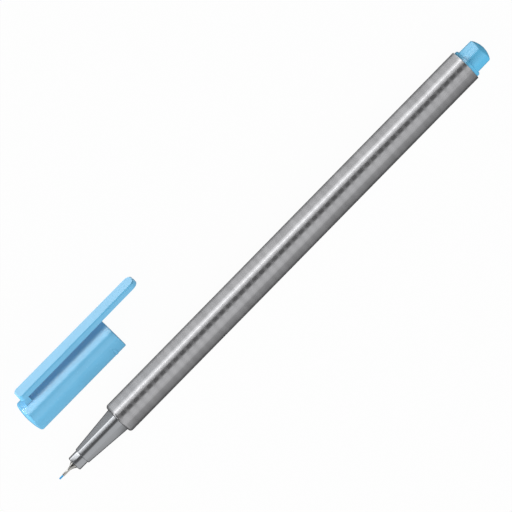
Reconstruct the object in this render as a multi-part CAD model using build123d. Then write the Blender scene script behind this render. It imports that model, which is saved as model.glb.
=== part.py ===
from build123d import *
import os
from math import cos, radians, sin, sqrt

# A fineliner pen with a triangular barrel. It lies on one flat, with its cap taken off and laid beside it.
# +X runs along the pen from nib to tail, +Y points to the cap's side and +Z is up. The origin is on the flat
# that the barrel rests on, halfway along the barrel. Sizes are in millimetres and angles in degrees.

# Outer section of barrel and cap: three flats that ease through shoulder arcs into round corners
barrel_width = 8.9
corner_radius = 2.4
shoulder_radius = 9.0
shoulder_turn = 8.0

# Barrel tube
barrel_length = 123.75
barrel_wall = 0.948
barrel_front_round = 0.85
barrel_tail_chamfer = 0.12

# Nose section: a tapering triangular cone, a round collar in front and a shank inside the barrel
seat_step = 1.04
seat_corner_radius = 1.8
nose_length = 12.82
nose_front_width = 4.6
nose_front_round = 0.3
collar_radius = 2.03
collar_length = 2.74
collar_front_round = 0.35
shank_length = 9.0
shank_wall = 0.78
shank_pocket_reach = 4.0
vent_count = 4
vent_width = 0.6
vent_depth = 0.3

# Metal tip sleeve
sleeve_base_radius = 1.2
sleeve_depth = 5.0
sleeve_flare_length = 2.3
sleeve_tube_radius = 0.33
sleeve_tube_length = 1.6

# Nib and feed wick
nib_radius = 0.24
nib_reach = 1.25
nib_tip_round = 0.12
nib_wick_overlap = 3.0
wick_radius = 0.95
wick_reservoir_depth = 6.0

# Ink reservoir and its film
reservoir_side_gap = 0.19
film_thickness = 0.1
film_setback = 0.4
reservoir_end_gap = 0.3

# Tail plug: stub inside the barrel, flange, rounded post and dome
flange_thickness = 1.0
flange_inset = 0.42
flange_chamfer = 0.3
post_length = 5.2
post_roundness = 0.8
post_draft = 0.06
post_dome_radius = 5.84
post_dome_round = 0.35
stub_length = 8.0
stub_wall = 0.8
plug_end_wall = 1.3

# Cap shell
cap_oversize = 0.17
cap_length = 30.36
cap_dome_radius = 16.8
cap_end_round = 0.7
cap_mouth_chamfer = 0.15
cap_nose_stop_gap = 0.25
cap_nib_room = 1.2
seal_lead_length = 0.8
seal_lead_widening = 0.35

# Raised pip beside the cap's mouth: a drop with its point towards the ridge
pip_setback = 2.99
pip_direction = 155.0
pip_width = 1.4
pip_taper = 3.6
pip_height = 0.3

# Pocket clip
clip_setback = 2.33
clip_length = 41.1
clip_root_width = 5.0
clip_free_width = 4.5
clip_thickness = 1.44
clip_gap = 1.9
clip_root_round = 1.2
clip_free_round = 1.8
clip_edge_chamfer = 0.3
clip_block_setback = 0.25
clip_block_length = 1.75
clip_block_inset = 0.5

# Where the cap lies: its mouth behind the barrel's front, and its axis beside the pen's
cap_mouth_behind_front = 14.68
cap_side_distance = 16.16

# Fits
press_clearance = 0.02
slip_clearance = 0.01
cap_clearance = 0.06
clip_flex_clearance = 0.1

# Extra stock that is cut away to form a dome
dome_waste_margin = 0.5

# Places along the pen, worked out from the sizes
side_turn = 120.0
flat_down = -90.0
corner_centre_y = barrel_width / 2 - corner_radius
shoulder_reach = shoulder_radius - corner_radius
flat_height = corner_centre_y / sqrt(3) + shoulder_radius - shoulder_reach * cos(radians(shoulder_turn))
barrel_bore_radius = flat_height - barrel_wall
shank_radius = barrel_bore_radius - press_clearance
seat_width = barrel_width - 2 * seat_step
post_corner_radius = post_roundness * seat_width / 2
reservoir_radius = barrel_bore_radius - reservoir_side_gap - film_thickness - slip_clearance
barrel_front = -barrel_length / 2
barrel_tail = barrel_length / 2
nose_front = barrel_front - nose_length
collar_front = nose_front - collar_length
sleeve_flare_front = collar_front - sleeve_flare_length
sleeve_front = sleeve_flare_front - sleeve_tube_length
sleeve_rear = collar_front + sleeve_depth
nib_front = sleeve_front - nib_reach
nib_rear = sleeve_rear + nib_wick_overlap
shank_rear = barrel_front + shank_length
reservoir_front = shank_rear + reservoir_end_gap
wick_rear = reservoir_front + wick_reservoir_depth
stub_front = barrel_tail - stub_length
reservoir_rear = stub_front - reservoir_end_gap
flange_rear = barrel_tail + flange_thickness
dome_rear = flange_rear + post_length
cap_end = -cap_length
cap_seat_depth = nose_length + cap_nose_stop_gap
cap_bore_depth = barrel_front - nib_front + cap_nib_room
cap_flat_height = flat_height + cap_oversize
clip_inner_height = cap_flat_height + clip_gap
cap_place = Pos(barrel_front + cap_mouth_behind_front, cap_side_distance, cap_flat_height)
pen_place = Pos(0, 0, flat_height)


def soft_triangle(x, width, corner, shoulder=0.0, turn=0.0):
    """A triangle across the pen at x, one flat down, with round corners and, where they turn, shoulder arcs."""
    centre_y = width / 2 - corner
    reach = shoulder - corner if turn else 0.0
    bend = shoulder if turn else corner
    flat_half = centre_y - reach * sin(radians(turn))
    flat_z = -centre_y / sqrt(3) + reach * cos(radians(turn)) - bend
    edges = []
    for side in range(3):
        one_side = [
            Line((-flat_half, flat_z), (flat_half, flat_z)),
            CenterArc((centre_y, -centre_y / sqrt(3)), corner, flat_down + turn, side_turn - 2 * turn),
        ]
        if turn:
            one_side.insert(0, CenterArc((-flat_half, flat_z + shoulder), shoulder, flat_down - turn, turn))
            one_side.insert(2, CenterArc((flat_half, flat_z + shoulder), shoulder, flat_down, turn))
        edges += [Rot(0, 0, side * side_turn) * edge for edge in one_side]
    return Plane.YZ.offset(x) * make_face(edges)


def outer_section(x, inset=0.0):
    """The barrel's section, drawn in evenly by the inset; the cap's is the same, drawn out."""
    return soft_triangle(
        x, barrel_width - 2 * inset, corner_radius - inset, shoulder_radius - inset, shoulder_turn
    )


def seat_section(x, growth=0.0):
    """The section of the nose's base, which the cap slides over."""
    return soft_triangle(x, seat_width + 2 * growth, seat_corner_radius + growth)


def post_section(x, inset=0.0):
    """The nearly round section of the tail plug's post."""
    return soft_triangle(x, seat_width - 2 * inset, post_corner_radius - inset)


def rod(start, end, radius):
    """A round rod along the pen's axis."""
    return extrude(Plane.YZ.offset(start) * Circle(radius), amount=end - start)


def corner_reach(width, corner):
    """How far a triangle's corners reach from the axis."""
    return (width - 2 * corner) / sqrt(3) + corner


def dome_waste(dome, inward, ball_radius, reach):
    """What a domed end loses: a disc across the end, hollowed by a ball that touches the dome's X."""
    rim = reach + dome_waste_margin
    drop = ball_radius - sqrt(ball_radius**2 - rim**2)
    half_drop = ball_radius - sqrt(ball_radius**2 - (rim / 2) ** 2)
    outside = dome - 2 * inward * dome_waste_margin
    outline = [
        Line((outside, 0), (dome, 0)),
        ThreePointArc((dome, 0), (dome + inward * half_drop, rim / 2), (dome + inward * drop, rim)),
        Line((dome + inward * drop, rim), (outside, rim)),
        Line((outside, rim), (outside, 0)),
    ]
    return revolve(Plane.XZ * make_face(outline), axis=Axis.X)


def end_edges(solid, direction):
    """The edges of the face that looks furthest along X in the given direction."""
    faces = solid.faces().sort_by(Axis.X)
    return (faces[-1] if direction > 0 else faces[0]).edges()


def make_barrel():
    tube = extrude(outer_section(barrel_front), amount=barrel_length)
    tube = fillet(end_edges(tube, -1), barrel_front_round)
    tube = chamfer(end_edges(tube, 1), barrel_tail_chamfer)
    return tube - rod(barrel_front, barrel_tail, barrel_bore_radius)


def make_nose_section():
    front_section = soft_triangle(nose_front, nose_front_width, seat_corner_radius)
    cone = loft([front_section, seat_section(barrel_front)], ruled=True)
    cone = fillet(end_edges(cone, -1), nose_front_round)
    collar = rod(collar_front, nose_front + nose_front_round, collar_radius)
    collar = fillet(end_edges(collar, -1), collar_front_round)
    nose = cone + collar + rod(barrel_front, shank_rear, shank_radius)
    nose -= rod(barrel_front - shank_pocket_reach, shank_rear, shank_radius - shank_wall)
    nose -= rod(sleeve_rear, barrel_front, wick_radius + press_clearance)
    nose -= rod(collar_front, sleeve_rear, sleeve_base_radius + slip_clearance)
    vent = Box(shank_length, vent_width, 2 * vent_depth)
    vent = Pos(barrel_front + shank_length / 2, 0, shank_radius) * vent
    for index in range(vent_count):
        nose -= Rot(index * 360 / vent_count, 0, 0) * vent
    return nose


def make_tip_sleeve():
    drop = sleeve_base_radius - sleeve_tube_radius
    flare_radius = (sleeve_flare_length**2 + drop**2) / (2 * drop)
    halfway = (sleeve_flare_front + collar_front) / 2
    half_rise = flare_radius - sqrt(flare_radius**2 - (halfway - sleeve_flare_front) ** 2)
    outline = [
        Line((sleeve_rear, 0), (sleeve_front, 0)),
        Line((sleeve_front, 0), (sleeve_front, sleeve_tube_radius)),
        Line((sleeve_front, sleeve_tube_radius), (sleeve_flare_front, sleeve_tube_radius)),
        ThreePointArc(
            (sleeve_flare_front, sleeve_tube_radius),
            (halfway, sleeve_tube_radius + half_rise),
            (collar_front, sleeve_base_radius),
        ),
        Line((collar_front, sleeve_base_radius), (sleeve_rear, sleeve_base_radius)),
        Line((sleeve_rear, sleeve_base_radius), (sleeve_rear, 0)),
    ]
    sleeve = revolve(Plane.XZ * make_face(outline), axis=Axis.X)
    return sleeve - rod(sleeve_front, sleeve_rear, nib_radius + slip_clearance)


def make_fibre_nib():
    nib = rod(nib_front, nib_rear, nib_radius)
    return fillet(end_edges(nib, -1), nib_tip_round)


def make_feed_wick():
    wick = rod(sleeve_rear, wick_rear, wick_radius)
    return wick - rod(sleeve_rear, nib_rear, nib_radius + slip_clearance)


def make_ink_reservoir():
    fibre = rod(reservoir_front, reservoir_rear, reservoir_radius)
    return fibre - rod(reservoir_front, wick_rear, wick_radius + slip_clearance)


def make_reservoir_film():
    film_start = reservoir_front + film_setback
    film_end = reservoir_rear - film_setback
    inner_radius = reservoir_radius + slip_clearance
    return rod(film_start, film_end, inner_radius + film_thickness) - rod(film_start, film_end, inner_radius)


def make_tail_plug():
    flange = extrude(outer_section(barrel_tail, flange_inset), amount=flange_thickness)
    flange = chamfer(end_edges(flange, 1), flange_chamfer)
    post_blank_end = dome_rear + dome_waste_margin
    post = loft([post_section(barrel_tail), post_section(post_blank_end, post_draft)], ruled=True)
    post -= dome_waste(dome_rear, -1, post_dome_radius, corner_reach(seat_width, post_corner_radius))
    post = fillet(end_edges(post, 1), post_dome_round)
    plug = flange + post + rod(stub_front, barrel_tail, shank_radius)
    return plug - rod(stub_front, dome_rear - plug_end_wall, shank_radius - stub_wall)


def make_cap_shell():
    blank_end = cap_end - dome_waste_margin
    shell = extrude(outer_section(blank_end, -cap_oversize), amount=cap_length + dome_waste_margin)
    reach = corner_reach(barrel_width, corner_radius) + cap_oversize
    shell -= dome_waste(cap_end, 1, cap_dome_radius, reach)
    shell = fillet(end_edges(shell, -1), cap_end_round)
    shell = chamfer(end_edges(shell, 1), cap_mouth_chamfer)
    shell += make_pip()
    shell -= extrude(seat_section(-cap_seat_depth, cap_clearance), amount=cap_seat_depth)
    seal_radius = collar_radius + cap_clearance
    shell -= rod(-cap_bore_depth, -cap_seat_depth, seal_radius)
    lead = Cone(seal_radius, seal_radius + seal_lead_widening, seal_lead_length)
    return shell - Pos(-cap_seat_depth - seal_lead_length / 2, 0, 0) * (Rot(0, 90, 0) * lead)


def make_pip():
    """A low drop on the corner away from the clip, mostly sunk into the cap's wall."""
    radius = pip_width / 2
    bend = (pip_taper**2 + radius**2) / (2 * radius)
    halfway = sqrt(bend**2 - (pip_taper / 2) ** 2) - bend + radius
    outline = [
        Line((0, radius), (0, -pip_taper)),
        ThreePointArc((0, -pip_taper), (halfway, -pip_taper / 2), (radius, 0)),
        CenterArc((0, 0), radius, 0, 90),
    ]
    drop = revolve(Plane.XZ * make_face(outline), axis=Axis.Z)
    sunk = corner_radius + cap_oversize + pip_height - radius
    corner_place = Pos(-pip_setback, -corner_centre_y, -corner_centre_y / sqrt(3))
    return corner_place * Rot(pip_direction, 0, 0) * Pos(0, sunk, 0) * drop


def make_pocket_clip():
    """Drawn with its flat upwards, then turned on to the cap's far flat."""
    root = cap_end + clip_setback
    free = root + clip_length
    half_root = clip_root_width / 2
    half_free = clip_free_width / 2
    outline = make_face(
        Polyline((root, -half_root), (free, -half_free), (free, half_free), (root, half_root), close=True)
    )
    outline = fillet(outline.vertices().sort_by(Axis.X)[:2], clip_root_round)
    outline = fillet(outline.vertices().group_by(Axis.X)[-1], clip_free_round)
    bar = extrude(Pos(0, 0, clip_inner_height) * outline, amount=clip_thickness)
    bar = chamfer(bar.faces().sort_by(Axis.Z)[-1].edges(), clip_edge_chamfer)
    block_height = clip_gap - clip_flex_clearance
    block = Box(clip_block_length, clip_root_width - 2 * clip_block_inset, block_height)
    block_x = root + clip_block_setback + clip_block_length / 2
    bar += Pos(block_x, 0, clip_inner_height - block_height / 2) * block
    return Rot(-side_turn / 2, 0, 0) * bar


pieces = {
    "barrel": pen_place * make_barrel(),
    "nose_section": pen_place * make_nose_section(),
    "tip_sleeve": pen_place * make_tip_sleeve(),
    "fibre_nib": pen_place * make_fibre_nib(),
    "feed_wick": pen_place * make_feed_wick(),
    "ink_reservoir": pen_place * make_ink_reservoir(),
    "reservoir_film": pen_place * make_reservoir_film(),
    "tail_plug": pen_place * make_tail_plug(),
    "cap_shell": cap_place * make_cap_shell(),
    "pocket_clip": cap_place * make_pocket_clip(),
}

os.makedirs("parts", exist_ok=True)
for name, piece in pieces.items():
    export_step(piece, f"parts/{name}.step")

print("flat height", round(flat_height, 4), "nib front", round(nib_front, 3), "dome rear", round(dome_rear, 3))
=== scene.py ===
from collections import namedtuple
from functools import partial
from math import asin, cos, degrees, pi, radians, sin, sqrt, tan

import bmesh
import bpy
from bpy.props import FloatProperty, FloatVectorProperty, PointerProperty
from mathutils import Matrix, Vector


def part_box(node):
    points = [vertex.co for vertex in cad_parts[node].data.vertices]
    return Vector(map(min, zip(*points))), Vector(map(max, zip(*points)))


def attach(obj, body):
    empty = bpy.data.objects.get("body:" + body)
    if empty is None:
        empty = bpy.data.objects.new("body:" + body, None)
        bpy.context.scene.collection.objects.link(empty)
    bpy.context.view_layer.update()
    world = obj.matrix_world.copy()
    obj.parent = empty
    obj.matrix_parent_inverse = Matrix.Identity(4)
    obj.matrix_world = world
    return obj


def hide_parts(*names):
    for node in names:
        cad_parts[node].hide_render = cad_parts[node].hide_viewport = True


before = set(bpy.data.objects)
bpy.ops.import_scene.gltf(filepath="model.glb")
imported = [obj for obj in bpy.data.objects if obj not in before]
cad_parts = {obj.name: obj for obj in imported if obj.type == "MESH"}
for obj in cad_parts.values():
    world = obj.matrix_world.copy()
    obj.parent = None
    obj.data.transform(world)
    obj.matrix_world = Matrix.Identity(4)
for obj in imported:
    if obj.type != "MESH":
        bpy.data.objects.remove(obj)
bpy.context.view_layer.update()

bl_info = {
    "name": "Fineliner pen",
    "version": (1, 0, 0),
    "blender": (4, 5, 0),
    "location": "3D View > Sidebar > Fineliner",
    "description": "Dresses a fineliner pen with a triangular barrel, its cap lying beside it",
    "category": "Add Mesh",
}

# Sizes are in metres, in the frame of the solids: +X from nib to tail, +Y to the cap's side, +Z up
MM = 0.001

# How finely the rings and rounds are divided. A flat's middle falls between two of a ring's points.
RING_POINTS = 174
ROUND_STEPS = 6
SMALL_STEPS = 4
FINE_STEPS = 2
CHAMFER_STEPS = 1
ROUND_PROFILE = 0.5
DOME_SHARES = (0.8, 0.68, 0.56, 0.44, 0.32, 0.2, 0.1, 0.03)
FLARE_STEPS = 8
PIP_SIDES = 48
PIP_RINGS = 32
SMOOTH_ANGLE = radians(28)

# Directions round the axis of the ridges and the flats, in degrees from +Y, and half the turn of a side
CORNERS = (90.0, 210.0, 330.0)
FLATS = (270.0, 30.0, 150.0)
HALF_SIDE = 60.0

# A section across the pen: its width, its corner radius, and the wider shoulder arc beside each flat
Section = namedtuple("Section", "width corner shoulder turn")


def linear(code):
    """An sRGB hex colour as linear red, green and blue."""
    parts = [int(code[place:place + 2], 16) / 255 for place in (1, 3, 5)]
    return tuple(part / 12.92 if part <= 0.04045 else ((part + 0.055) / 1.055) ** 2.4 for part in parts)


# Where each piece starts and ends along the pen, from the solids
barrel_low, barrel_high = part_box("barrel")
nose_low, nose_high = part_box("nose_section")
sleeve_low, sleeve_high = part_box("tip_sleeve")
nib_low, nib_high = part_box("fibre_nib")
plug_low, plug_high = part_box("tail_plug")
cap_low, cap_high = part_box("cap_shell")
clip_low, clip_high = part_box("pocket_clip")


def length(name, description, millimetres):
    """A size that a user may change."""
    return FloatProperty(
        name=name, description=description, default=millimetres * MM, min=0, precision=5, unit="LENGTH"
    )


def colour(name, description, code):
    """A colour that a user may change."""
    return FloatVectorProperty(
        name=name, description=description, default=linear(code), min=0, max=1, size=3, subtype="COLOR"
    )


class PenSizes(bpy.types.PropertyGroup):
    """Sizes of the pen's pieces"""

    barrel_width: length("Barrel width", "Across the barrel, corner to corner", 8.9)
    corner_radius: length("Corner radius", "Round of the barrel's corners", 2.4)
    shoulder_radius: length("Shoulder radius", "Wider round beside each flat", 9.0)
    shoulder_turn: FloatProperty(
        name="Shoulder turn", description="How far each shoulder turns", default=radians(8), subtype="ANGLE"
    )
    barrel_wall: length("Barrel wall", "Wall of the barrel at the middle of a flat", 0.948)
    barrel_front_round: length("Front round", "Round of the barrel's front edge", 0.85)
    barrel_tail_chamfer: length("Tail chamfer", "Chamfer of the barrel's tail edge", 0.12)
    seat_step: length("Seat step", "From the barrel's outline in to the nose's base and the post", 1.04)
    seat_corner_radius: length("Seat corner radius", "Round of the nose's corners", 1.8)
    nose_front_width: length("Nose front width", "Across the nose in front of its taper", 4.6)
    nose_front_round: length("Nose front round", "Round of the nose's front edge", 0.3)
    collar_radius: length("Collar radius", "Round collar in front of the nose", 2.03)
    collar_length: length("Collar length", "Length of that collar", 2.74)
    collar_front_round: length("Collar round", "Round of the collar's front edge", 0.35)
    shank_wall: length("Shank wall", "Wall of the nose's shank", 0.78)
    shank_pocket_reach: length("Shank pocket", "How far the shank's hollow runs into the nose", 4.0)
    sleeve_base_radius: length("Sleeve base radius", "Metal sleeve inside the collar", 1.2)
    sleeve_tube_radius: length("Sleeve tube radius", "Thin tube round the nib", 0.33)
    sleeve_flare_length: length("Sleeve flare", "Length of the sleeve's flare", 2.3)
    sleeve_edge_round: length("Sleeve edge round", "Round of the thin tube's front edge", 0.03)
    nib_radius: length("Nib radius", "Radius of the fibre nib", 0.24)
    nib_tip_round: length("Nib tip round", "Round of the nib's tip", 0.12)
    wick_radius: length("Wick radius", "Radius of the feed wick", 0.95)
    flange_thickness: length("Flange thickness", "Tail plug's flange", 1.0)
    flange_inset: length("Flange inset", "From the barrel's outline in to the flange", 0.42)
    flange_chamfer: length("Flange chamfer", "Chamfer of the flange's rear edge", 0.3)
    post_dome_radius: length("Post dome radius", "Dome at the pen's tail", 5.84)
    post_dome_round: length("Post dome round", "Round of that dome's edge", 0.35)
    post_draft: length("Post draft", "How far the post narrows", 0.06)
    post_roundness: FloatProperty(
        name="Post roundness",
        description="Share of the post's half width that is its corner radius",
        default=0.8,
        min=0,
        max=1,
    )
    stub_wall: length("Stub wall", "Wall of the plug inside the barrel", 0.8)
    plug_end_wall: length("Plug end wall", "Plug's wall at the tail", 1.3)
    cap_oversize: length("Cap oversize", "How far the cap's sides stand out beyond the barrel's", 0.17)
    cap_dome_radius: length("Cap dome radius", "Dome at the cap's closed end", 16.8)
    cap_end_round: length("Cap end round", "Round of that dome's edge", 0.7)
    cap_mouth_chamfer: length("Cap mouth chamfer", "Chamfer of the cap's mouth", 0.15)
    cap_nose_stop_gap: length("Cap stop gap", "Room in front of the nose inside the cap", 0.25)
    cap_nib_room: length("Cap nib room", "Room in front of the nib inside the cap", 1.2)
    seal_lead_length: length("Seal lead", "Cone that leads into the cap's seal bore", 0.8)
    seal_lead_widening: length("Seal lead widening", "How much wider that cone starts", 0.35)
    cap_clearance: length("Cap clearance", "Between the cap and what it goes over", 0.06)
    slip_clearance: length("Slip clearance", "Between pieces that slip together", 0.01)
    press_clearance: length("Press clearance", "Between pieces that are pressed together", 0.02)
    pip_setback: length("Pip setback", "Pip's middle behind the cap's mouth", 2.99)
    pip_direction: FloatProperty(
        name="Pip direction", description="Way that the pip faces", default=radians(155), subtype="ANGLE"
    )
    pip_width: length("Pip width", "Pip along the cap", 1.4)
    pip_taper: length("Pip taper", "From the pip's middle to its point", 3.6)
    pip_height: length("Pip height", "How far the pip stands out", 0.3)
    clip_root_width: length("Clip root width", "Clip's width at its root", 5.0)
    clip_free_width: length("Clip free width", "Clip's width at its free end", 4.5)
    clip_thickness: length("Clip thickness", "Clip's thickness", 1.44)
    clip_gap: length("Clip gap", "Between the clip and the cap", 1.9)
    clip_flex_clearance: length("Clip flex clearance", "Between the clip's root block and the cap", 0.1)
    clip_root_round: length("Clip root round", "Round of the clip's root corners", 1.2)
    clip_free_round: length("Clip free round", "Round of the clip's free corners", 1.8)
    clip_edge_chamfer: length("Clip edge chamfer", "Chamfer of the clip's outer edges", 0.3)
    clip_block_setback: length("Clip block setback", "Root block from the clip's end", 0.25)
    clip_block_length: length("Clip block length", "Root block along the clip", 1.75)
    clip_block_inset: length("Clip block inset", "Root block inside the clip's sides", 0.5)


class PenColours(bpy.types.PropertyGroup):
    """Colours of the pen's materials"""

    silver: colour("Silver", "Pearl pigment of the barrel", "#A4A4A6")
    grey: colour("Grey", "Nose section", "#9A9C9F")
    tip_metal: colour("Tip metal", "Nickel silver of the tip sleeve", "#B9B8B4")
    blue: colour("Blue", "Cap and clip", "#69B2D8")
    # The tail plug is the cap's plastic, and its deeper blue is painted shade
    plug_shaded_blue: colour("Plug blue", "Tail plug", "#58B0D8")
    ink: colour("Ink", "Inked fibres", "#3BA3DA")
    film: colour("Film", "Wrap of the reservoir", "#EDEEEF")
    floor: colour("Floor", "Pale floor", "#F7F7F7")


def axis_height(sizes):
    """The height of the pen's axis over the flat that it rests on."""
    turn_in = (sizes.shoulder_radius - sizes.corner_radius) * cos(sizes.shoulder_turn)
    return (sizes.barrel_width / 2 - sizes.corner_radius) / sqrt(3) + sizes.shoulder_radius - turn_in


def round_section(radius):
    """A plain circle."""
    return Section(2 * radius, radius, radius, 0)


def outer_section(sizes, inset=0.0):
    """The barrel's section, drawn in by an inset; the cap's is the same, drawn out."""
    width = sizes.barrel_width - 2 * inset
    return Section(width, sizes.corner_radius - inset, sizes.shoulder_radius - inset, sizes.shoulder_turn)


def seat_section(sizes, growth=0.0):
    """The section of the nose's base, widened by a growth."""
    corner = sizes.seat_corner_radius + growth
    return Section(sizes.barrel_width - 2 * sizes.seat_step + 2 * growth, corner, corner, 0)


def post_section(sizes, inset=0.0):
    """The nearly round section of the tail plug's post, drawn in by an inset."""
    half_width = sizes.barrel_width / 2 - sizes.seat_step
    corner = sizes.post_roundness * half_width - inset
    return Section(2 * (half_width - inset), corner, corner, 0)


def bore_radius(sizes):
    """The barrel's bore."""
    return axis_height(sizes) - sizes.barrel_wall


def select_only(piece):
    """Selects one object and nothing else."""
    bpy.ops.object.select_all(action="DESELECT")
    piece.select_set(True)
    bpy.context.view_layer.objects.active = piece


def pick(piece, test):
    """In edit mode, selects the vertices that pass a test, with the edges and faces between them."""
    mesh = bmesh.from_edit_mesh(piece.data)
    for vertex in mesh.verts:
        vertex.select = test(vertex)
    mesh.select_flush_mode()
    bmesh.update_edit_mesh(piece.data)


def pick_edges(piece, test):
    """In edit mode, selects the edges that pass a test and nothing else."""
    bpy.ops.mesh.select_mode(type="EDGE")
    bpy.ops.mesh.select_all(action="DESELECT")
    mesh = bmesh.from_edit_mesh(piece.data)
    for edge in mesh.edges:
        if test(edge):
            edge.select = True
    mesh.select_flush_mode()
    bmesh.update_edit_mesh(piece.data)


def pick_rings(piece, *numbers):
    """In edit mode, selects whole rings by their numbers."""
    layer = bmesh.from_edit_mesh(piece.data).verts.layers.float["ring"]
    pick(piece, lambda vertex: vertex[layer] in numbers)


def away(angle, direction):
    """How many degrees an angle lies from a direction, from -180 to 180."""
    return (angle - direction + 180) % 360 - 180


def add_ring(number, x, centre, section):
    """Adds a circle and pulls its thirds apart into a soft triangle with one flat down."""
    middle = (x, centre[0], centre[1])
    bpy.ops.object.select_all(action="DESELECT")
    bpy.ops.mesh.primitive_circle_add(
        vertices=RING_POINTS, radius=section.shoulder, location=middle, rotation=(0, pi / 2, 0)
    )
    ring = bpy.context.active_object
    bpy.ops.object.transform_apply(location=True, rotation=True, scale=True)
    marks = ring.data.attributes.new("ring", "FLOAT", "POINT")
    marks.data.foreach_set("value", [number] * RING_POINTS)
    corner_out = section.width / 2 - section.corner
    if corner_out <= 0:
        return ring
    turn = degrees(section.turn)
    spread = (section.shoulder - section.corner) * sin(section.turn)
    drop = (section.shoulder - section.corner) * cos(section.turn)
    step = 360 / RING_POINTS
    bpy.ops.object.mode_set(mode="EDIT")
    for direction in CORNERS:
        pick(ring, lambda vertex: abs(away(vertex.index * step, direction)) < HALF_SIDE - turn)
        shrink = section.corner / section.shoulder
        bpy.ops.transform.resize(value=(1, shrink, shrink), center_override=middle)
        reach = corner_out * 2 / sqrt(3)
        way = radians(direction)
        bpy.ops.transform.translate(value=(0, reach * cos(way), reach * sin(way)))
    for direction in FLATS if turn else ():
        outward = Vector((0, cos(radians(direction)), sin(radians(direction))))
        along = Vector((0, -outward.z, outward.y))
        for side in (-1, 1):
            pick(ring, lambda vertex: 0 < side * away(vertex.index * step, direction) < turn)
            shift = along * side * (corner_out - spread) + outward * (corner_out / sqrt(3) - drop)
            bpy.ops.transform.translate(value=shift)
    bpy.ops.object.mode_set(mode="OBJECT")
    return ring


def loft(name, centre, stations, closed=True):
    """Bridges rings into one piece, ring to ring and the last to the first, and moves each to its station.

    The rings are bridged a millimetre apart, because two rings in one plane can be bridged the wrong
    way round.
    """
    rings = [add_ring(number, number * MM, centre, section) for number, (x, section) in enumerate(stations)]
    bpy.ops.object.select_all(action="DESELECT")
    for ring in rings:
        ring.select_set(True)
    bpy.context.view_layer.objects.active = rings[0]
    bpy.ops.object.join()
    piece = rings[0]
    piece.name = name
    piece.data.name = name
    last = len(stations) - 1
    pairs = [(number, number + 1) for number in range(last)]
    if closed:
        pairs.append((last, 0))
    bpy.ops.object.mode_set(mode="EDIT")
    bpy.ops.mesh.select_mode(type="VERT")
    for pair in pairs:
        pick_rings(piece, *pair)
        bpy.ops.mesh.bridge_edge_loops()
    if not closed:
        for end in (0, last):
            pick_rings(piece, end)
            bpy.ops.mesh.edge_face_add()
    for number, (x, section) in enumerate(stations):
        pick_rings(piece, number)
        bpy.ops.transform.translate(value=(x - number * MM, 0, 0))
    face_outwards()
    bpy.ops.object.mode_set(mode="OBJECT")
    return piece


def face_outwards():
    """In edit mode, turns every face outwards."""
    bpy.ops.mesh.select_all(action="SELECT")
    bpy.ops.mesh.normals_make_consistent(inside=False)


def round_ring(piece, number, radius, steps=ROUND_STEPS, lean=0.0):
    """Rounds the square edge that a ring makes, or one that leans open by an angle."""
    offset = radius / tan((pi / 2 + lean) / 2)
    select_only(piece)
    bpy.ops.object.mode_set(mode="EDIT")
    bpy.ops.mesh.select_mode(type="VERT")
    pick_rings(piece, number)
    bpy.ops.mesh.bevel(offset=offset, segments=steps, profile=ROUND_PROFILE, affect="EDGES")
    bpy.ops.object.mode_set(mode="OBJECT")


def combine(piece, other, operation):
    """Joins another shape to a piece or cuts it out of it, and removes that shape."""
    select_only(piece)
    change = piece.modifiers.new(operation.lower(), "BOOLEAN")
    change.operation = operation
    change.solver = "EXACT"
    change.object = other
    bpy.ops.object.modifier_apply(modifier=change.name)
    bpy.data.objects.remove(other)


def dome_stations(x, section):
    """Rings across a domed end, from inside its rounded rim to its middle."""
    return [(x, scaled(section, share)) for share in DOME_SHARES]


def dome_rings(piece, centre, numbers, dome_x, inward, ball_radius):
    """Lays whole rings on a ball that touches the dome's X."""
    marks = [mark.value for mark in piece.data.attributes["ring"].data]
    for vertex, number in zip(piece.data.vertices, marks):
        if number in numbers:
            out = (vertex.co.y - centre[0]) ** 2 + (vertex.co.z - centre[1]) ** 2
            vertex.co.x = dome_x + inward * (ball_radius - sqrt(ball_radius**2 - out))


def scaled(section, share):
    """A section drawn in towards the axis by a share."""
    return Section(section.width * share, section.corner * share, section.shoulder * share, section.turn)


def finish_piece(piece, material, node, body):
    """Turns the faces outwards, smooths the rounds, and seats the piece on its body."""
    if "ring" in piece.data.attributes:
        piece.data.attributes.remove(piece.data.attributes["ring"])
    select_only(piece)
    bpy.ops.object.mode_set(mode="EDIT")
    face_outwards()
    bpy.ops.object.mode_set(mode="OBJECT")
    bpy.ops.object.shade_smooth_by_angle(angle=SMOOTH_ANGLE)
    even = piece.modifiers.new("even_flats", "WEIGHTED_NORMAL")
    even.keep_sharp = True
    bpy.ops.object.modifier_apply(modifier=even.name)
    piece.data.materials.clear()
    piece.data.materials.append(material)
    # The cap and clip, laid aside, don't show in the pen's reflections
    piece.visible_glossy = body == "pen"
    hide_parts(node)
    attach(piece, body)


def add_node(tree, kind, settings, links=()):
    """Adds a shader node, sets its options and input values, and links its inputs to other nodes' outputs."""
    node = tree.nodes.new("ShaderNode" + kind)
    for name, value in settings.items():
        if isinstance(name, int) or name in node.inputs:
            node.inputs[name].default_value = value
        else:
            setattr(node, name, value)
    for name, (source, output) in dict(links).items():
        tree.links.new(source.outputs[output], node.inputs[name])
    return node


def clear_nodes(owner):
    """Clears the nodes of a material or world, and gives the function that adds to them."""
    owner.use_nodes = True
    owner.node_tree.nodes.clear()
    return partial(add_node, owner.node_tree)


def new_material(name):
    """A material, the function that adds to its nodes, and its Object coordinates."""
    material = bpy.data.materials.new(name)
    add = clear_nodes(material)
    return material, add, (add("TexCoord", {}), "Object")


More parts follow.
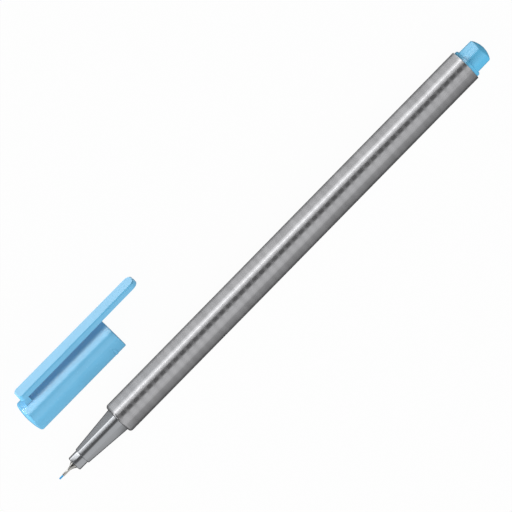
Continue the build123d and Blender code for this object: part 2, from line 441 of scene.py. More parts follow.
def finish_material(add, settings, colour_from, roughness_from, height_from, depth_mm):
    """Adds the shader, with its own values and the colour, roughness and relief that nodes give it."""
    bump = add("Bump", {"Distance": depth_mm * MM}, {"Height": height_from})
    links = {"Base Color": colour_from, "Roughness": roughness_from, "Normal": (bump, "Normal")}
    shader = add("BsdfPrincipled", settings, links)
    add("OutputMaterial", {}, {"Surface": (shader, "BSDF")})


def shade(value, share):
    """A colour made darker or lighter by a share, with full alpha."""
    return tuple(min(1, part * share) for part in value) + (1,)


def scale_of(size_mm):
    """The scale at which a pattern's features are of this size."""
    return 1 / (size_mm * MM)


def band_scale(spacing_mm):
    """The scale at which a wave's bands lie this far apart."""
    return pi / (10 * spacing_mm * MM)


def dress(add, settings, value, tones, cloud, roughness, grain, depth_mm):
    """Finishes a material with tones from one pattern, and roughness and relief from the same or another."""
    ramp = add("ValToRGB", {}, {"Fac": (cloud, "Fac")})
    for stop, tone in zip(ramp.color_ramp.elements, tones):
        stop.color = shade(value, tone)
    smooth, rough = roughness
    polish = add("MapRange", {"To Min": smooth, "To Max": rough}, {"Value": (grain, "Fac")})
    finish_material(add, settings, (ramp, "Color"), (polish, "Result"), (grain, "Fac"), depth_mm)


def pearl_silver(name, value):
    """Moulded polypropylene with aluminium pigment: a soft metal sheen and faint flow marks across it.

    The marks break the dark line along each ridge into dashes. The flakes are drawn coarser than real ones,
    so that they show.
    """
    flow_mm, flow_round_mm, flake_mm, mark_mm = 2.3, 18.0, 0.22, 2.34
    flake_share, flake_depth_mm, mark_share = 0.12, 0.0002, 0.3
    dark_place, dark_tone, light_place, light_tone = 0.25, 0.88, 0.95, 1.07
    smooth, rough = 0.22, 0.3
    ridge_start_mm, ridge_full_mm, ridge_roughness = 0.45, 0.15, 0.11
    crest_start_mm, crest_full_mm = 0.1, 0.03
    gap_share, gap_roughness, dash_roughness = 0.6, 0.06, -0.14
    axis = (nib_low.z + nib_high.z) / 2
    ridge = barrel_high.z - axis
    material, add, place = new_material(name)
    flow_scale = (scale_of(flow_mm), scale_of(flow_round_mm), scale_of(flow_round_mm))
    stretch = add("Mapping", {"Scale": flow_scale}, {"Vector": place})
    flow = add("TexNoise", {"Scale": 1.0, "Detail": 3.0}, {"Vector": (stretch, "Vector")})
    flakes = add("TexVoronoi", {"Scale": scale_of(flake_mm)}, {"Vector": place})
    marks = add(
        "TexWave",
        {"wave_type": "BANDS", "bands_direction": "X", "Scale": band_scale(mark_mm), "Distortion": 0.0},
        {"Vector": place},
    )
    flecked = add(
        "Math", {"operation": "MULTIPLY_ADD", 1: flake_share}, {0: (flakes, "Distance"), 2: (flow, "Fac")}
    )
    banded = add(
        "Math", {"operation": "MULTIPLY_ADD", 1: mark_share}, {0: (marks, "Fac"), 2: (flecked, "Value")}
    )
    ramp = add("ValToRGB", {}, {"Fac": (banded, "Value")})
    dark, light = ramp.color_ramp.elements
    dark.position, dark.color = dark_place, shade(value, dark_tone)
    light.position, light.color = light_place, shade(value, light_tone)
    spokes = add("Mapping", {"Location": (0, 0, -axis), "Scale": (0, 1, 1)}, {"Vector": place})
    reach = add("VectorMath", {"operation": "LENGTH"}, {0: (spokes, "Vector")})
    ridge_start, ridge_full = ridge - ridge_start_mm * MM, ridge - ridge_full_mm * MM
    on_ridge = add(
        "MapRange", {"From Min": ridge_start, "From Max": ridge_full, "To Max": ridge_roughness},
        {"Value": (reach, "Value")},
    )
    crest_start, crest_full = ridge - crest_start_mm * MM, ridge - crest_full_mm * MM
    on_crest = add(
        "MapRange", {"From Min": crest_start, "From Max": crest_full}, {"Value": (reach, "Value")}
    )
    dashes = add(
        "MapRange", {"From Max": gap_share, "To Min": gap_roughness, "To Max": dash_roughness},
        {"Value": (marks, "Fac")},
    )
    worn = add(
        "Math", {"operation": "MULTIPLY_ADD"},
        {0: (on_crest, "Result"), 1: (dashes, "Result"), 2: (on_ridge, "Result")},
    )
    polish = add("MapRange", {"To Min": smooth, "To Max": rough}, {"Value": (flow, "Fac")})
    roughness = add("Math", {"operation": "ADD"}, {0: (polish, "Result"), 1: (worn, "Value")})
    settings = {"Metallic": 0.92, "IOR": 1.49}
    relief = (flakes, "Distance")
    finish_material(add, settings, (ramp, "Color"), (roughness, "Value"), relief, flake_depth_mm)
    return material


def grey_plastic(name, value):
    """Moulded grey polypropylene with aluminium pigment: a satin sheen and the mould's fine even grain."""
    grain_mm, depth_mm, tones, roughness = 0.35, 0.001, (0.95, 1.04), (0.13, 0.19)
    material, add, place = new_material(name)
    grain = add("TexNoise", {"Scale": scale_of(grain_mm), "Detail": 2.0}, {"Vector": place})
    dress(add, {"Metallic": 0.92, "IOR": 1.49}, value, tones, grain, roughness, grain, depth_mm)
    return material


def turned_metal(name, value):
    """Turned nickel silver: bright, with tool rings, drawn coarser than real ones so that they show."""
    ring_mm, depth_mm, tones, roughness = 0.12, 0.001, (0.9, 1.05), (0.14, 0.24)
    material, add, place = new_material(name)
    rings = add(
        "TexWave",
        {"wave_type": "BANDS", "bands_direction": "X", "Scale": band_scale(ring_mm), "Distortion": 0.4},
        {"Vector": place},
    )
    dress(add, {"Metallic": 1.0}, value, tones, rings, roughness, rings, depth_mm)
    return material


def blue_plastic(name, value):
    """Moulded blue polypropylene: glossy, with a slight cloud and ripple from the mould."""
    cloud_mm, ripple_mm, depth_mm, tones, roughness = 5.0, 0.6, 0.0015, (0.95, 1.05), (0.2, 0.3)
    material, add, place = new_material(name)
    cloud = add("TexNoise", {"Scale": scale_of(cloud_mm), "Detail": 2.0}, {"Vector": place})
    ripple = add("TexNoise", {"Scale": scale_of(ripple_mm), "Detail": 1.0}, {"Vector": place})
    dress(add, {"IOR": 1.49}, value, tones, cloud, roughness, ripple, depth_mm)
    return material


def inked_fibre(name, value):
    """Bonded fibres: matt, with streaks along the strands, drawn coarser than real ones so that they show."""
    strand_mm, strand_length_mm, depth_mm, tones, roughness = 0.06, 2.0, 0.01, (0.8, 1.15), (0.6, 0.8)
    material, add, place = new_material(name)
    strand_scale = (scale_of(strand_length_mm), scale_of(strand_mm), scale_of(strand_mm))
    stretch = add("Mapping", {"Scale": strand_scale}, {"Vector": place})
    strands = add("TexNoise", {"Scale": 1.0, "Detail": 2.0}, {"Vector": (stretch, "Vector")})
    dress(add, {"IOR": 1.5}, value, tones, strands, roughness, strands, depth_mm)
    return material


def wrap_film(name, value):
    """Clear polypropylene film, wound: glossy, with faint wrinkles."""
    wrinkle_mm, depth_mm, tones, roughness = 1.2, 0.02, (0.93, 1.0), (0.1, 0.2)
    material, add, place = new_material(name)
    wrinkle = add("TexNoise", {"Scale": scale_of(wrinkle_mm), "Detail": 2.0}, {"Vector": place})
    dress(add, {"IOR": 1.49, "Alpha": 0.5}, value, tones, wrinkle, roughness, wrinkle, depth_mm)
    return material


def shared_material(name, make, value):
    """The material of that name, made on first use in the given colour."""
    return bpy.data.materials.get(name) or make(name, value)


def pen_centre(sizes):
    """Y and Z of the pen's axis."""
    return 0.0, axis_height(sizes)


def cap_centre(sizes):
    """Y and Z of the cap's axis."""
    return cap_high.y - sizes.barrel_width / 2 - sizes.cap_oversize, axis_height(sizes) + sizes.cap_oversize


class PEN_OT_barrel(bpy.types.Operator):
    """Triangular barrel tube with a rounded front edge"""

    bl_idname = "pen.barrel"
    bl_label = "Barrel"

    def execute(self, context):
        sizes = context.scene.pen_sizes
        outer = outer_section(sizes)
        bore = round_section(bore_radius(sizes))
        front, tail = barrel_low.x, barrel_high.x
        stations = [(front, outer), (tail, outer), (tail, bore), (front, bore)]
        front_ring, tail_ring = 0, 1
        piece = loft("silver_barrel_tube", pen_centre(sizes), stations)
        round_ring(piece, front_ring, sizes.barrel_front_round)
        round_ring(piece, tail_ring, sizes.barrel_tail_chamfer, FINE_STEPS)
        silver = context.scene.pen_colours.silver
        material = shared_material("pearl_silver_polypropylene", pearl_silver, silver)
        finish_piece(piece, material, "barrel", "pen")
        return {"FINISHED"}


class PEN_OT_nose(bpy.types.Operator):
    """Tapering nose with its collar and hollow shank"""

    bl_idname = "pen.nose"
    bl_label = "Nose section"

    def execute(self, context):
        sizes = context.scene.pen_sizes
        front, base = nose_low.x, barrel_low.x
        taper_end = front + sizes.collar_length
        corner = sizes.seat_corner_radius
        collar = round_section(sizes.collar_radius)
        shank = bore_radius(sizes) - sizes.press_clearance
        pocket = round_section(shank - sizes.shank_wall)
        wick = round_section(sizes.wick_radius + sizes.press_clearance)
        sleeve_hole = round_section(sizes.sleeve_base_radius + sizes.slip_clearance)
        pocket_end = base - sizes.shank_pocket_reach
        centre = pen_centre(sizes)
        stations = [
            (nose_high.x, round_section(shank)),
            (base, round_section(shank)),
            (base, seat_section(sizes)),
            (taper_end, Section(sizes.nose_front_width, corner, corner, 0)),
        ]
        taper_ring, collar_ring = 3, 1
        piece = loft("grey_nose_section", centre, stations, closed=False)
        round_ring(piece, taper_ring, sizes.nose_front_round, SMALL_STEPS)
        ring = loft("collar", centre, [(base, collar), (front, collar)], closed=False)
        round_ring(ring, collar_ring, sizes.collar_front_round, SMALL_STEPS)
        combine(piece, ring, "UNION")
        hollow = [
            (front - sizes.collar_length, sleeve_hole),
            (sleeve_high.x, sleeve_hole),
            (sleeve_high.x, wick),
            (pocket_end, wick),
            (pocket_end, pocket),
            (nose_high.x + sizes.collar_length, pocket),
        ]
        combine(piece, loft("hollow", centre, hollow, closed=False), "DIFFERENCE")
        material = shared_material("grey_polypropylene", grey_plastic, context.scene.pen_colours.grey)
        finish_piece(piece, material, "nose_section", "pen")
        return {"FINISHED"}


class PEN_OT_tip(bpy.types.Operator):
    """Metal tip sleeve and the fibre nib in it"""

    bl_idname = "pen.tip"
    bl_label = "Tip sleeve and nib"

    def execute(self, context):
        sizes = context.scene.pen_sizes
        colours = context.scene.pen_colours
        centre = pen_centre(sizes)
        thin, wide = sizes.sleeve_tube_radius, sizes.sleeve_base_radius
        drop = wide - thin
        flare_radius = (sizes.sleeve_flare_length**2 + drop**2) / (2 * drop)
        hole = round_section(sizes.nib_radius + sizes.slip_clearance)
        flare_front = nose_low.x - sizes.sleeve_flare_length
        tube = round_section(thin)
        stations = [(sleeve_low.x, hole), (sleeve_low.x, tube), (flare_front, tube)]
        for step in range(1, FLARE_STEPS + 1):
            along = sizes.sleeve_flare_length * step / FLARE_STEPS
            rise = flare_radius - sqrt(flare_radius**2 - along**2)
            stations.append((flare_front + along, round_section(thin + rise)))
        stations += [(sleeve_high.x, round_section(wide)), (sleeve_high.x, hole)]
        sleeve_ring, nib_ring = 1, 0
        sleeve = loft("metal_tip_sleeve", centre, stations)
        round_ring(sleeve, sleeve_ring, sizes.sleeve_edge_round, FINE_STEPS)
        material = shared_material("turned_nickel_silver", turned_metal, colours.tip_metal)
        finish_piece(sleeve, material, "tip_sleeve", "pen")
        rod = round_section(sizes.nib_radius)
        nib = loft("fibre_nib_rod", centre, [(nib_low.x, rod), (nib_high.x, rod)], closed=False)
        round_ring(nib, nib_ring, sizes.nib_tip_round)
        material = shared_material("inked_nylon_fibre", inked_fibre, colours.ink)
        finish_piece(nib, material, "fibre_nib", "pen")
        return {"FINISHED"}


class PEN_OT_tail_plug(bpy.types.Operator):
    """Tail plug with its flange, rounded post and dome"""

    bl_idname = "pen.tail_plug"
    bl_label = "Tail plug"

    def execute(self, context):
        sizes = context.scene.pen_sizes
        centre = pen_centre(sizes)
        tail = barrel_high.x
        flange_rear = tail + sizes.flange_thickness
        flange = outer_section(sizes, sizes.flange_inset)
        shank_radius = bore_radius(sizes) - sizes.press_clearance
        shank = round_section(shank_radius)
        hollow = round_section(shank_radius - sizes.stub_wall)
        stations = [(plug_low.x, shank), (tail, shank), (tail, flange), (flange_rear, flange)]
        flange_ring, dome_ring = 3, 1
        piece = loft("blue_tail_plug", centre, stations, closed=False)
        round_ring(piece, flange_ring, sizes.flange_chamfer, CHAMFER_STEPS)
        top = post_section(sizes, sizes.post_draft)
        post_stations = [((tail + flange_rear) / 2, post_section(sizes)), (plug_high.x, top)]
        post_stations += dome_stations(plug_high.x, top)
        post = loft("post", centre, post_stations, closed=False)
        domed = range(dome_ring, len(post_stations))
        dome_rings(post, centre, domed, plug_high.x, inward=-1, ball_radius=sizes.post_dome_radius)
        lean = asin(top.width / 2 / sizes.post_dome_radius)
        round_ring(post, dome_ring, sizes.post_dome_round, lean=lean)
        combine(piece, post, "UNION")
        start, end = plug_low.x - sizes.stub_wall, plug_high.x - sizes.plug_end_wall
        combine(piece, loft("hollow", centre, [(start, hollow), (end, hollow)], closed=False), "DIFFERENCE")
        # The plug's deeper blue is painted shade on the cap's plastic
        blue = context.scene.pen_colours.plug_shaded_blue
        material = shared_material("deep_blue_polypropylene", blue_plastic, blue)
        finish_piece(piece, material, "tail_plug", "pen")
        return {"FINISHED"}


def add_pip(piece, sizes, centre, mouth):
    """Joins a low drop on to the corner away from the clip, its point towards the ridge."""
    corner_out = sizes.barrel_width / 2 - sizes.corner_radius
    radius, taper, hair = sizes.pip_width / 2, sizes.pip_taper, MM * MM
    sunk = sizes.corner_radius + sizes.cap_oversize + sizes.pip_height - radius
    place = (
        mouth - sizes.pip_setback,
        centre[0] - corner_out + sunk * cos(sizes.pip_direction),
        centre[1] - corner_out / sqrt(3) + sunk * sin(sizes.pip_direction),
    )
    bpy.ops.object.select_all(action="DESELECT")
    bpy.ops.mesh.primitive_uv_sphere_add(
        segments=PIP_SIDES,
        ring_count=PIP_RINGS,
        radius=radius,
        location=place,
        rotation=(sizes.pip_direction, 0, 0),
    )
    pip = bpy.context.active_object
    bend = (taper**2 + radius**2) / (2 * radius)
    for vertex in pip.data.vertices:
        around = sqrt(vertex.co.x**2 + vertex.co.y**2)
        if vertex.co.z < 0:
            vertex.co.z *= taper / radius
            squeeze = (sqrt(bend**2 - vertex.co.z**2) - bend + radius) / max(around, hair)
            vertex.co.x *= squeeze
            vertex.co.y *= squeeze
    bpy.ops.object.transform_apply(location=True, rotation=True, scale=True)
    combine(piece, pip, "UNION")


class PEN_OT_cap(bpy.types.Operator):
    """Cap shell with its seat bore, seal bore, domed end and pip"""

    bl_idname = "pen.cap"
    bl_label = "Cap shell"

    def execute(self, context):
        sizes = context.scene.pen_sizes
        centre = cap_centre(sizes)
        mouth, end = cap_high.x, cap_low.x
        outer = outer_section(sizes, -sizes.cap_oversize)
        seat = seat_section(sizes, sizes.cap_clearance)
        seat_end = mouth - (barrel_low.x - nose_low.x - sizes.collar_length) - sizes.cap_nose_stop_gap
        seal_radius = sizes.collar_radius + sizes.cap_clearance
        seal = round_section(seal_radius)
        bore_end = mouth - (barrel_low.x - nib_low.x) - sizes.cap_nib_room
        lead = round_section(seal_radius + sizes.seal_lead_widening)
        stations = [
            (bore_end, seal),
            (seat_end - sizes.seal_lead_length, seal),
            (seat_end, lead),
            (seat_end, seat),
            (mouth, seat),
            (mouth, outer),
            (mouth - sizes.pip_setback + sizes.pip_width, outer),
            (mouth - sizes.pip_setback - sizes.pip_width, outer),
            (end, outer),
        ]
        mouth_ring, rim = 5, len(stations) - 1
        stations += dome_stations(end, outer)
        piece = loft("blue_cap_shell", centre, stations, closed=False)
        domed = range(rim, len(stations))
        dome_rings(piece, centre, domed, end, inward=1, ball_radius=sizes.cap_dome_radius)
        lean = asin(outer.width / 2 / sizes.cap_dome_radius)
        round_ring(piece, rim, sizes.cap_end_round, lean=lean)
        round_ring(piece, mouth_ring, sizes.cap_mouth_chamfer, FINE_STEPS)
        add_pip(piece, sizes, centre, mouth)
        material = shared_material("blue_polypropylene", blue_plastic, context.scene.pen_colours.blue)
        finish_piece(piece, material, "cap_shell", "cap")
        return {"FINISHED"}


def is_upright(edge):
    """Whether an edge runs from the clip's inner face to its outer one."""
    least_share = 0.9
    along = edge.verts[0].co - edge.verts[1].co
    return abs(along.z) > least_share * along.length


def add_block(piece, sizes, start, inner):
    """Joins the root block on to the inner face."""
    foot = inner - sizes.clip_gap + sizes.clip_flex_clearance
    head = inner + sizes.clip_thickness / 2
    bpy.ops.object.select_all(action="DESELECT")
    bpy.ops.mesh.primitive_cube_add(
        size=1, location=(start + sizes.clip_block_length / 2, 0, (foot + head) / 2)
    )
    block = bpy.context.active_object
    width = sizes.clip_root_width - 2 * sizes.clip_block_inset
    block.scale = (sizes.clip_block_length, width, head - foot)
    bpy.ops.object.transform_apply(location=True, rotation=True, scale=True)
    combine(piece, block, "UNION")
    select_only(piece)


class PEN_OT_clip(bpy.types.Operator):
    """Pocket clip: a bar with rounded ends and a root block"""

    bl_idname = "pen.clip"
    bl_label = "Pocket clip"

    def execute(self, context):
        sizes = context.scene.pen_sizes
        centre = cap_centre(sizes)
        root, free = clip_low.x, clip_high.x
        inner = axis_height(sizes) + sizes.cap_oversize + sizes.clip_gap
        half_way = inner + sizes.clip_thickness / 2
        middle = (root + free) / 2
        bpy.ops.object.select_all(action="DESELECT")
        bpy.ops.mesh.primitive_cube_add(size=1, location=(middle, 0, half_way))
        piece = bpy.context.active_object
        piece.name = "blue_pocket_clip"
        piece.data.name = piece.name
        piece.scale = (free - root, sizes.clip_root_width, sizes.clip_thickness)
        bpy.ops.object.transform_apply(location=True, rotation=True, scale=True)
        bpy.ops.object.mode_set(mode="EDIT")
        bpy.ops.mesh.select_mode(type="VERT")
        pick(piece, lambda vertex: vertex.co.x > middle)
        narrow = sizes.clip_free_width / sizes.clip_root_width
        bpy.ops.transform.resize(value=(1, narrow, 1), center_override=(free, 0, 0))
        for radius, is_free in ((sizes.clip_free_round, True), (sizes.clip_root_round, False)):
            pick_edges(piece, lambda edge: is_upright(edge) and (edge.verts[0].co.x > middle) == is_free)
            bpy.ops.mesh.bevel(offset=radius, segments=2 * ROUND_STEPS, profile=ROUND_PROFILE, affect="EDGES")
        pick_edges(piece, lambda edge: all(vertex.co.z > half_way for vertex in edge.verts))
        bpy.ops.mesh.bevel(offset=sizes.clip_edge_chamfer, segments=CHAMFER_STEPS, affect="EDGES")
        bpy.ops.object.mode_set(mode="OBJECT")
        add_block(piece, sizes, root + sizes.clip_block_setback, inner)
        piece.location = (0, centre[0], centre[1])
        piece.rotation_euler = (-radians(HALF_SIDE), 0, 0)
        bpy.ops.object.transform_apply(location=True, rotation=True, scale=True)
        material = shared_material("blue_polypropylene", blue_plastic, context.scene.pen_colours.blue)
        finish_piece(piece, material, "pocket_clip", "clip")
        return {"FINISHED"}


class PEN_OT_inside(bpy.types.Operator):
    """Materials of the wick, reservoir and film inside the barrel"""

    bl_idname = "pen.inside"
    bl_label = "Inner pieces"

    def execute(self, context):
        colours = context.scene.pen_colours
        ink = shared_material("inked_nylon_fibre", inked_fibre, colours.ink)
        fibre = shared_material("inked_polyester_fibre", inked_fibre, colours.ink)
        film = shared_material("clear_polypropylene_film", wrap_film, colours.film)
        for node, material in (("feed_wick", ink), ("ink_reservoir", fibre), ("reservoir_film", film)):
            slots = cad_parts[node].data.materials
            slots.clear()
            slots.append(material)
        return {"FINISHED"}


def add_floor(colours):
    """White card, white to the camera with a faint shadow. It glows in reflections, with painted shade and
    light.
    """
    floor_size, floor_drop, ramp_middle = 12.0, 0.02 * MM, 0.5
    camera_share, mirror_share, soft_level = 0.96, 0.9, 0.9
    nose_front, nose_back, nose_narrowing, nose_far_reach = -0.066, -0.06, 1.65, 0.02
    sheen_start, sheen_full, sheen_level, far_start, far_full = 0.55, 0.8, 1.7, 0.01, 0.025
    steep_full, steep_start, steep_share = 0.15, 0.4, 0.15
    tail_start, tail_full, tail_share = 0.061, 0.066, 0.3
    glow_start, glow_full, glow_side, glow_side_full, glow_level = 0.063, 0.0645, 0.006, 0.01, 2.6
    # Places across the card, from near to far, and how bright each is where the pen mirrors it, as painted
    # shade and light
    near_card, near_bright, near_fading = (-0.04, 1.1), (-0.022, 1.05), (-0.016, 0.84)
    near_shade, near_dark, under_pen = (-0.013, 0.38), (-0.009, 0.1), (-0.005, 0.0)
    far_dark, far_shade, far_bright = (0.005, 0.12), (0.013, 0.4), (0.021, 0.7)
    # The dark band on the far card is painted shade, which the cap's far flat mirrors under the clip
    clip_shade_near, clip_shade_far, far_card = (0.027, 0.1), (0.033, 0.1), (0.06, 1.0)
    levels = (
        near_card, near_bright, near_fading, near_shade, near_dark, under_pen,
        far_dark, far_shade, far_bright, clip_shade_near, clip_shade_far, far_card,
    )
    near_edge, far_edge, top_level = near_card[0], far_card[0], near_card[1]
    bpy.ops.object.select_all(action="DESELECT")
    bpy.ops.mesh.primitive_plane_add(size=floor_size, location=(0, 0, -floor_drop))
    floor = bpy.context.active_object
    floor.name = "pale_floor"
    material = bpy.data.materials.new("matt_white_card")
    add = clear_nodes(material)
    path = add("LightPath", {})
    place = add("TexCoord", {})
    across = add("SeparateXYZ", {}, {"Vector": (place, "Object")})
    x, y = (across, "X"), (across, "Y")
    # The painted shade draws in beside the nose, which is narrower than the barrel, but not where the cap
    # lies
    narrow = add(
        "MapRange", {"From Min": nose_front, "From Max": nose_back, "To Min": nose_narrowing}, {"Value": x}
    )
    narrowed = add("Math", {"operation": "MULTIPLY"}, {0: y, 1: (narrow, "Result")})
    beside_cap = add("Math", {"operation": "MAXIMUM", 1: nose_far_reach}, {0: y})
    reach = add("Math", {"operation": "MINIMUM"}, {0: (beside_cap, "Value"), 1: (narrowed, "Value")})
    side = add("MapRange", {"From Min": near_edge, "From Max": far_edge}, {"Value": (reach, "Value")})
    ramp = add("ValToRGB", {}, {"Fac": (side, "Result")})
    stops = ramp.color_ramp.elements
    while len(stops) < len(levels):
        stops.new(ramp_middle)
    for stop, (spot, brightness) in zip(stops, levels):
        stop.position = (spot - near_edge) / (far_edge - near_edge)
        stop.color = (brightness / top_level,) * 3 + (1,)
    shaded = add("Math", {"operation": "MULTIPLY", 1: top_level}, {0: (ramp, "Color")})
    # A painted reflection makes the far card brighter at a grazing angle, and painted shade makes it dark
    # straight below
    grazing = add("LayerWeight", {})
    sheen = add(
        "MapRange",
        {
            "interpolation_type": "SMOOTHSTEP",
            "From Min": sheen_start,
            "From Max": sheen_full,
            "To Max": sheen_level,
        },
        {"Value": (grazing, "Facing")},
    )
    far_side = add("MapRange", {"From Min": far_start, "From Max": far_full}, {"Value": y})
    far_sheen = add("Math", {"operation": "MULTIPLY"}, {0: (far_side, "Result"), 1: (narrow, "Result")})
    sheened = add(
        "Math", {"operation": "MULTIPLY_ADD"},
        {0: (sheen, "Result"), 1: (far_sheen, "Value"), 2: (shaded, "Value")},
    )
    steep = add(
        "MapRange", {"From Min": steep_full, "From Max": steep_start, "To Min": steep_share},
        {"Value": (grazing, "Facing")},
    )
    dimmed = add("Math", {"operation": "MULTIPLY"}, {0: (sheened, "Value"), 1: (steep, "Result")})
    # Beyond the tail the card is dimmer, apart from a glow on the far side that shows in the plug
    tail = add(
        "MapRange",
        {"From Min": tail_start, "From Max": tail_full, "To Min": 1.0, "To Max": tail_share},
        {"Value": x},
    )
    beyond = add(
        "MapRange", {"From Min": glow_start, "From Max": glow_full, "To Max": glow_level}, {"Value": x}
    )
    aside = add("MapRange", {"From Min": glow_side, "From Max": glow_side_full}, {"Value": y})
    tail_glow = add("Math", {"operation": "MULTIPLY"}, {0: (beyond, "Result"), 1: (aside, "Result")})
    level = add(
        "Math", {"operation": "MULTIPLY_ADD"},
        {0: (dimmed, "Value"), 1: (tail, "Result"), 2: (tail_glow, "Value")},
    )
    # In reflections the card shows these painted levels, to bounced light it glows evenly, and to the camera
    # it is white
    mirrored = add(
        "Math", {"operation": "MAXIMUM"}, {0: (path, "Is Glossy Ray"), 1: (path, "Is Transmission Ray")}
    )
    in_mirror = add("Math", {"operation": "MULTIPLY", 1: mirror_share}, {0: (mirrored, "Value")})
    to_camera = add("Math", {"operation": "MULTIPLY", 1: camera_share}, {0: (path, "Is Camera Ray")})
    card = add("BsdfDiffuse", {"Color": tuple(colours.floor) + (1,)})
    glow = add("Emission", {}, {"Strength": (level, "Value")})
    soft = add("Emission", {"Strength": soft_level})
    white = add("Emission", {"Strength": 1.0})
    reflected = add(
        "MixShader", {}, {"Fac": (in_mirror, "Value"), 1: (card, "BSDF"), 2: (glow, "Emission")}
    )
    bounced = add(
        "MixShader", {}, {"Fac": (path, "Is Diffuse Ray"), 1: (reflected, "Shader"), 2: (soft, "Emission")}
    )
    seen = add(
        "MixShader", {}, {"Fac": (to_camera, "Value"), 1: (bounced, "Shader"), 2: (white, "Emission")}
    )
    add("OutputMaterial", {}, {"Surface": (seen, "Shader")})
    material.cycles.emission_sampling = "NONE"
    floor.data.materials.append(material)


def add_patch(add, place, turn, height, fade, settings, links=()):
    """A round patch of the room towards a turn and a height, which fades in from one angle to another."""
    centre = (cos(height) * cos(turn), cos(height) * sin(turn), sin(height))
    outer, inner = fade
    towards = add("VectorMath", {"operation": "DOT_PRODUCT", 1: centre}, {0: (place, "Generated")})
    edges = {"interpolation_type": "SMOOTHSTEP", "From Min": cos(outer), "From Max": cos(inner)}
    return add("MapRange", {**edges, **settings}, {"Value": (towards, "Value"), **dict(links)})


def set_world(scene):
    """A soft room, brighter on the near side, even at the ends and dark overhead, for the ridges' dark line.

    A dark patch to the front shows in the metal tip. Matt surfaces get a softer room with a dim far side.
    """
    far_turn, near_level, far_level, side_spread = radians(90), 1.1, 0.35, 0.3
    overhead_level, overhead_height, overhead_fade = 0.15, radians(82), (radians(38), radians(9))
    end_level, end_start, end_full = 0.7, 0.3, 0.75
    front_share, front_turn, front_height = 0.05, radians(160), radians(10)
    front_fade = (radians(42), radians(26))
    soft_level, dim_level, dim_height, dim_fade = 1.1, 0.2, radians(25), (radians(75), radians(35))
    soft_tail_share, soft_tail_start, soft_tail_full = 0.7, 0.2, 0.9
    white = (1, 1, 1, 1)
    world = bpy.data.worlds.new("soft_room")
    add = clear_nodes(world)
    path = add("LightPath", {})
    place = add("TexCoord", {})
    across = add("SeparateXYZ", {}, {"Vector": (place, "Generated")})
    sides = add(
        "MapRange",
        {"From Min": -side_spread, "From Max": side_spread, "To Min": near_level, "To Max": far_level},
        {"Value": (across, "Y")},
    )
    overhead = add_patch(
        add, place, far_turn, overhead_height, overhead_fade, {"To Max": overhead_level},
        {"To Min": (sides, "Result")},
    )
    along = add("Math", {"operation": "ABSOLUTE"}, {0: (across, "X")})
    ends = add(
        "MapRange",
        {
            "interpolation_type": "SMOOTHSTEP",
            "From Min": end_start,
            "From Max": end_full,
            "To Max": end_level,
        },
        {"Value": (along, "Value"), "To Min": (overhead, "Result")},
    )
    front = add_patch(
        add, place, front_turn, front_height, front_fade, {"To Min": 1.0, "To Max": front_share}
    )
    sharp = add("Math", {"operation": "MULTIPLY"}, {0: (ends, "Result"), 1: (front, "Result")})
    far_dim = add_patch(
        add, place, far_turn, dim_height, dim_fade, {"To Min": soft_level, "To Max": dim_level}
    )
    tail_dim = add(
        "MapRange",
        {"From Min": soft_tail_start, "From Max": soft_tail_full, "To Min": 1.0, "To Max": soft_tail_share},
        {"Value": (across, "X")},
    )
    soft = add("Math", {"operation": "MULTIPLY"}, {0: (far_dim, "Result"), 1: (tail_dim, "Result")})
    level = add(
        "Mix", {}, {"Factor": (path, "Is Diffuse Ray"), "A": (sharp, "Value"), "B": (soft, "Value")}
    )
    room = add("Background", {"Color": white}, {"Strength": (level, "Result")})
    backdrop = add("Background", {"Color": white, "Strength": 1.0})
    seen = add(
        "MixShader", {},
        {"Fac": (path, "Is Camera Ray"), 1: (room, "Background"), 2: (backdrop, "Background")},
    )
    add("OutputWorld", {}, {"Surface": (seen, "Shader")})
    world.cycles.sampling_method = "NONE"
    scene.world = world


def collect(name, *pieces):
    """A collection of pieces that lamps light or are shaded by."""
    collection = bpy.data.collections.new(name)
    for piece in pieces:
        collection.objects.link(bpy.data.objects[piece])
    return collection


def add_panel(name, place, size, radiance, lit, shaded_by=None, lying=False, gloss=True, matt=True):
    """An area light for some pieces, which stands and faces the pen, or lies on the card and faces up.

    A standing panel's size is its height and its width, and a lying one's is along the pen and across it.
    Without gloss it leaves no highlight, and without matt it leaves nothing else.
    """
    facing_up, watts_per_radiance = (0, 1, 0, 0), 4
    bpy.ops.object.select_all(action="DESELECT")
    bpy.ops.object.light_add(type="AREA", location=place)
    lamp = bpy.context.active_object
    lamp.name = name
    lamp.rotation_mode = "QUATERNION"
    lamp.rotation_quaternion = facing_up if lying else Vector(place).to_track_quat("Z", "X")
    lamp.data.shape = "RECTANGLE"
    lamp.data.size, lamp.data.size_y = size
    lamp.data.energy = watts_per_radiance * radiance * size[0] * size[1]
    lamp.visible_camera = False
    lamp.visible_glossy = gloss
    lamp.visible_diffuse = matt
    lamp.light_linking.receiver_collection = lit
    lamp.light_linking.blocker_collection = shaded_by
    return lamp


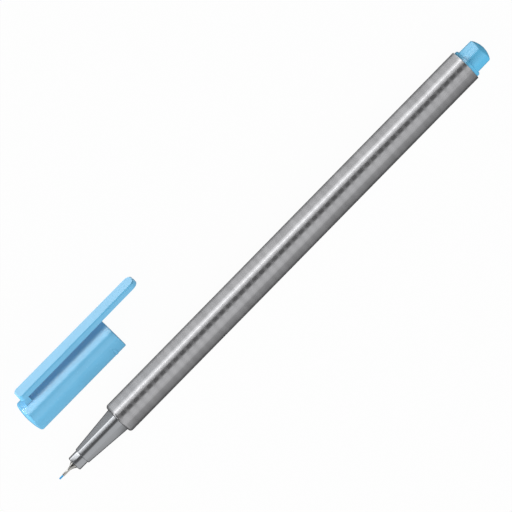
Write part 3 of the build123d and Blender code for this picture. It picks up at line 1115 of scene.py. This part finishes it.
def add_lights():
    """Upright soft boxes on the far side for the highlights, and reflectors for the blue pieces.

    A narrow strip gives the pen its highlight, and wider boxes give the nose, cap and plug theirs. Two
    reflectors on the card show in the cap and the clip. The near reflector and the key, far to the left,
    leave no highlight.
    """
    point_pieces = ("grey_nose_section", "metal_tip_sleeve", "fibre_nib_rod")
    pen = collect("pen_pieces", "silver_barrel_tube", *point_pieces)
    point = collect("point_pieces", *point_pieces)
    cap = collect("cap_piece", "blue_cap_shell")
    clip = collect("clip_piece", "blue_pocket_clip")
    plug = collect("plug_piece", "blue_tail_plug")
    blue = collect("blue_pieces", "blue_cap_shell", "blue_pocket_clip", "blue_tail_plug")
    on_card = -0.01 * MM
    add_panel("pen_soft_strip", place=(0, 2.2, 0.15), size=(4.0, 0.3), radiance=3.1, lit=pen, shaded_by=pen)
    add_panel(
        "nose_soft_box", place=(0, 2.05, 0.75), size=(4.0, 1.0), radiance=1.5, lit=point, shaded_by=pen
    )
    add_panel(
        "cap_soft_box", place=(0, 2.0, 1.12), size=(4.0, 3.9), radiance=4.0,
        lit=cap, shaded_by=cap, matt=False,
    )
    add_panel("plug_soft_box", place=(0, 2.0, 0.95), size=(4.0, 2.4), radiance=3.9, lit=plug, matt=False)
    cap_reflector = add_panel(
        "cap_reflector", place=(-0.055, 0.062, on_card), size=(0.12, 0.06), radiance=1.9,
        lit=cap, shaded_by=blue, lying=True, matt=False,
    )
    cap_reflector.data.cycles.use_multiple_importance_sampling = False
    add_panel(
        "clip_reflector", place=(-0.055, 0.035, on_card), size=(0.056, 0.018), radiance=1.7,
        lit=clip, lying=True, matt=False,
    )
    add_panel(
        "near_reflector", place=(0, -2.3, 0.5), size=(4.0, 1.6), radiance=0.8,
        lit=blue, shaded_by=blue, gloss=False,
    )
    add_panel(
        "key_soft_box", place=(-2.1, 1.25, 0.38), size=(1.2, 1.0), radiance=17.0, lit=blue, gloss=False
    )


def add_camera(scene):
    """Straight above, turned so that the pen runs up to the right."""
    lens, sensor, frame_width, far_clip = 500.0, 36.0, 127.5 * MM, 20.0
    turn, middle = radians(-45.54), (-8.69 * MM, 3.996 * MM)
    height = frame_width * lens / sensor + axis_height(scene.pen_sizes)
    bpy.ops.object.camera_add(location=(*middle, height), rotation=(0, 0, turn))
    camera = bpy.context.active_object
    camera.name = "camera_above"
    camera.data.lens = lens
    camera.data.sensor_width = sensor
    camera.data.clip_end = far_clip
    scene.camera = camera


class PEN_OT_stage(bpy.types.Operator):
    """Pale floor, soft lights and the camera straight above"""

    bl_idname = "pen.stage"
    bl_label = "Stage"

    def execute(self, context):
        scene = context.scene
        scene.view_settings.view_transform = "Standard"
        add_floor(scene.pen_colours)
        set_world(scene)
        add_lights()
        add_camera(scene)
        return {"FINISHED"}


class PEN_PT_panel(bpy.types.Panel):
    """Buttons for the pen's pieces and stage"""

    bl_idname = "PEN_PT_panel"
    bl_label = "Fineliner pen"
    bl_space_type = "VIEW_3D"
    bl_region_type = "UI"
    bl_category = "Fineliner"

    def draw(self, context):
        for piece in PIECES:
            self.layout.operator(piece.bl_idname)
        for group in (context.scene.pen_sizes, context.scene.pen_colours):
            for name in group.bl_rna.properties.keys():
                if name not in ("rna_type", "name"):
                    self.layout.prop(group, name)


PIECES = (
    PEN_OT_barrel,
    PEN_OT_nose,
    PEN_OT_tip,
    PEN_OT_tail_plug,
    PEN_OT_cap,
    PEN_OT_clip,
    PEN_OT_inside,
    PEN_OT_stage,
)
CLASSES = (PenSizes, PenColours, *PIECES, PEN_PT_panel)


def register():
    for kind in CLASSES:
        bpy.utils.register_class(kind)
    bpy.types.Scene.pen_sizes = PointerProperty(type=PenSizes)
    bpy.types.Scene.pen_colours = PointerProperty(type=PenColours)


def unregister():
    del bpy.types.Scene.pen_colours
    del bpy.types.Scene.pen_sizes
    for kind in reversed(CLASSES):
        bpy.utils.unregister_class(kind)


def main():
    register()
    bpy.ops.pen.barrel()
    bpy.ops.pen.nose()
    bpy.ops.pen.tip()
    bpy.ops.pen.tail_plug()
    bpy.ops.pen.cap()
    bpy.ops.pen.clip()
    bpy.ops.pen.inside()
    bpy.ops.pen.stage()


if __name__ == "__main__":
    main()
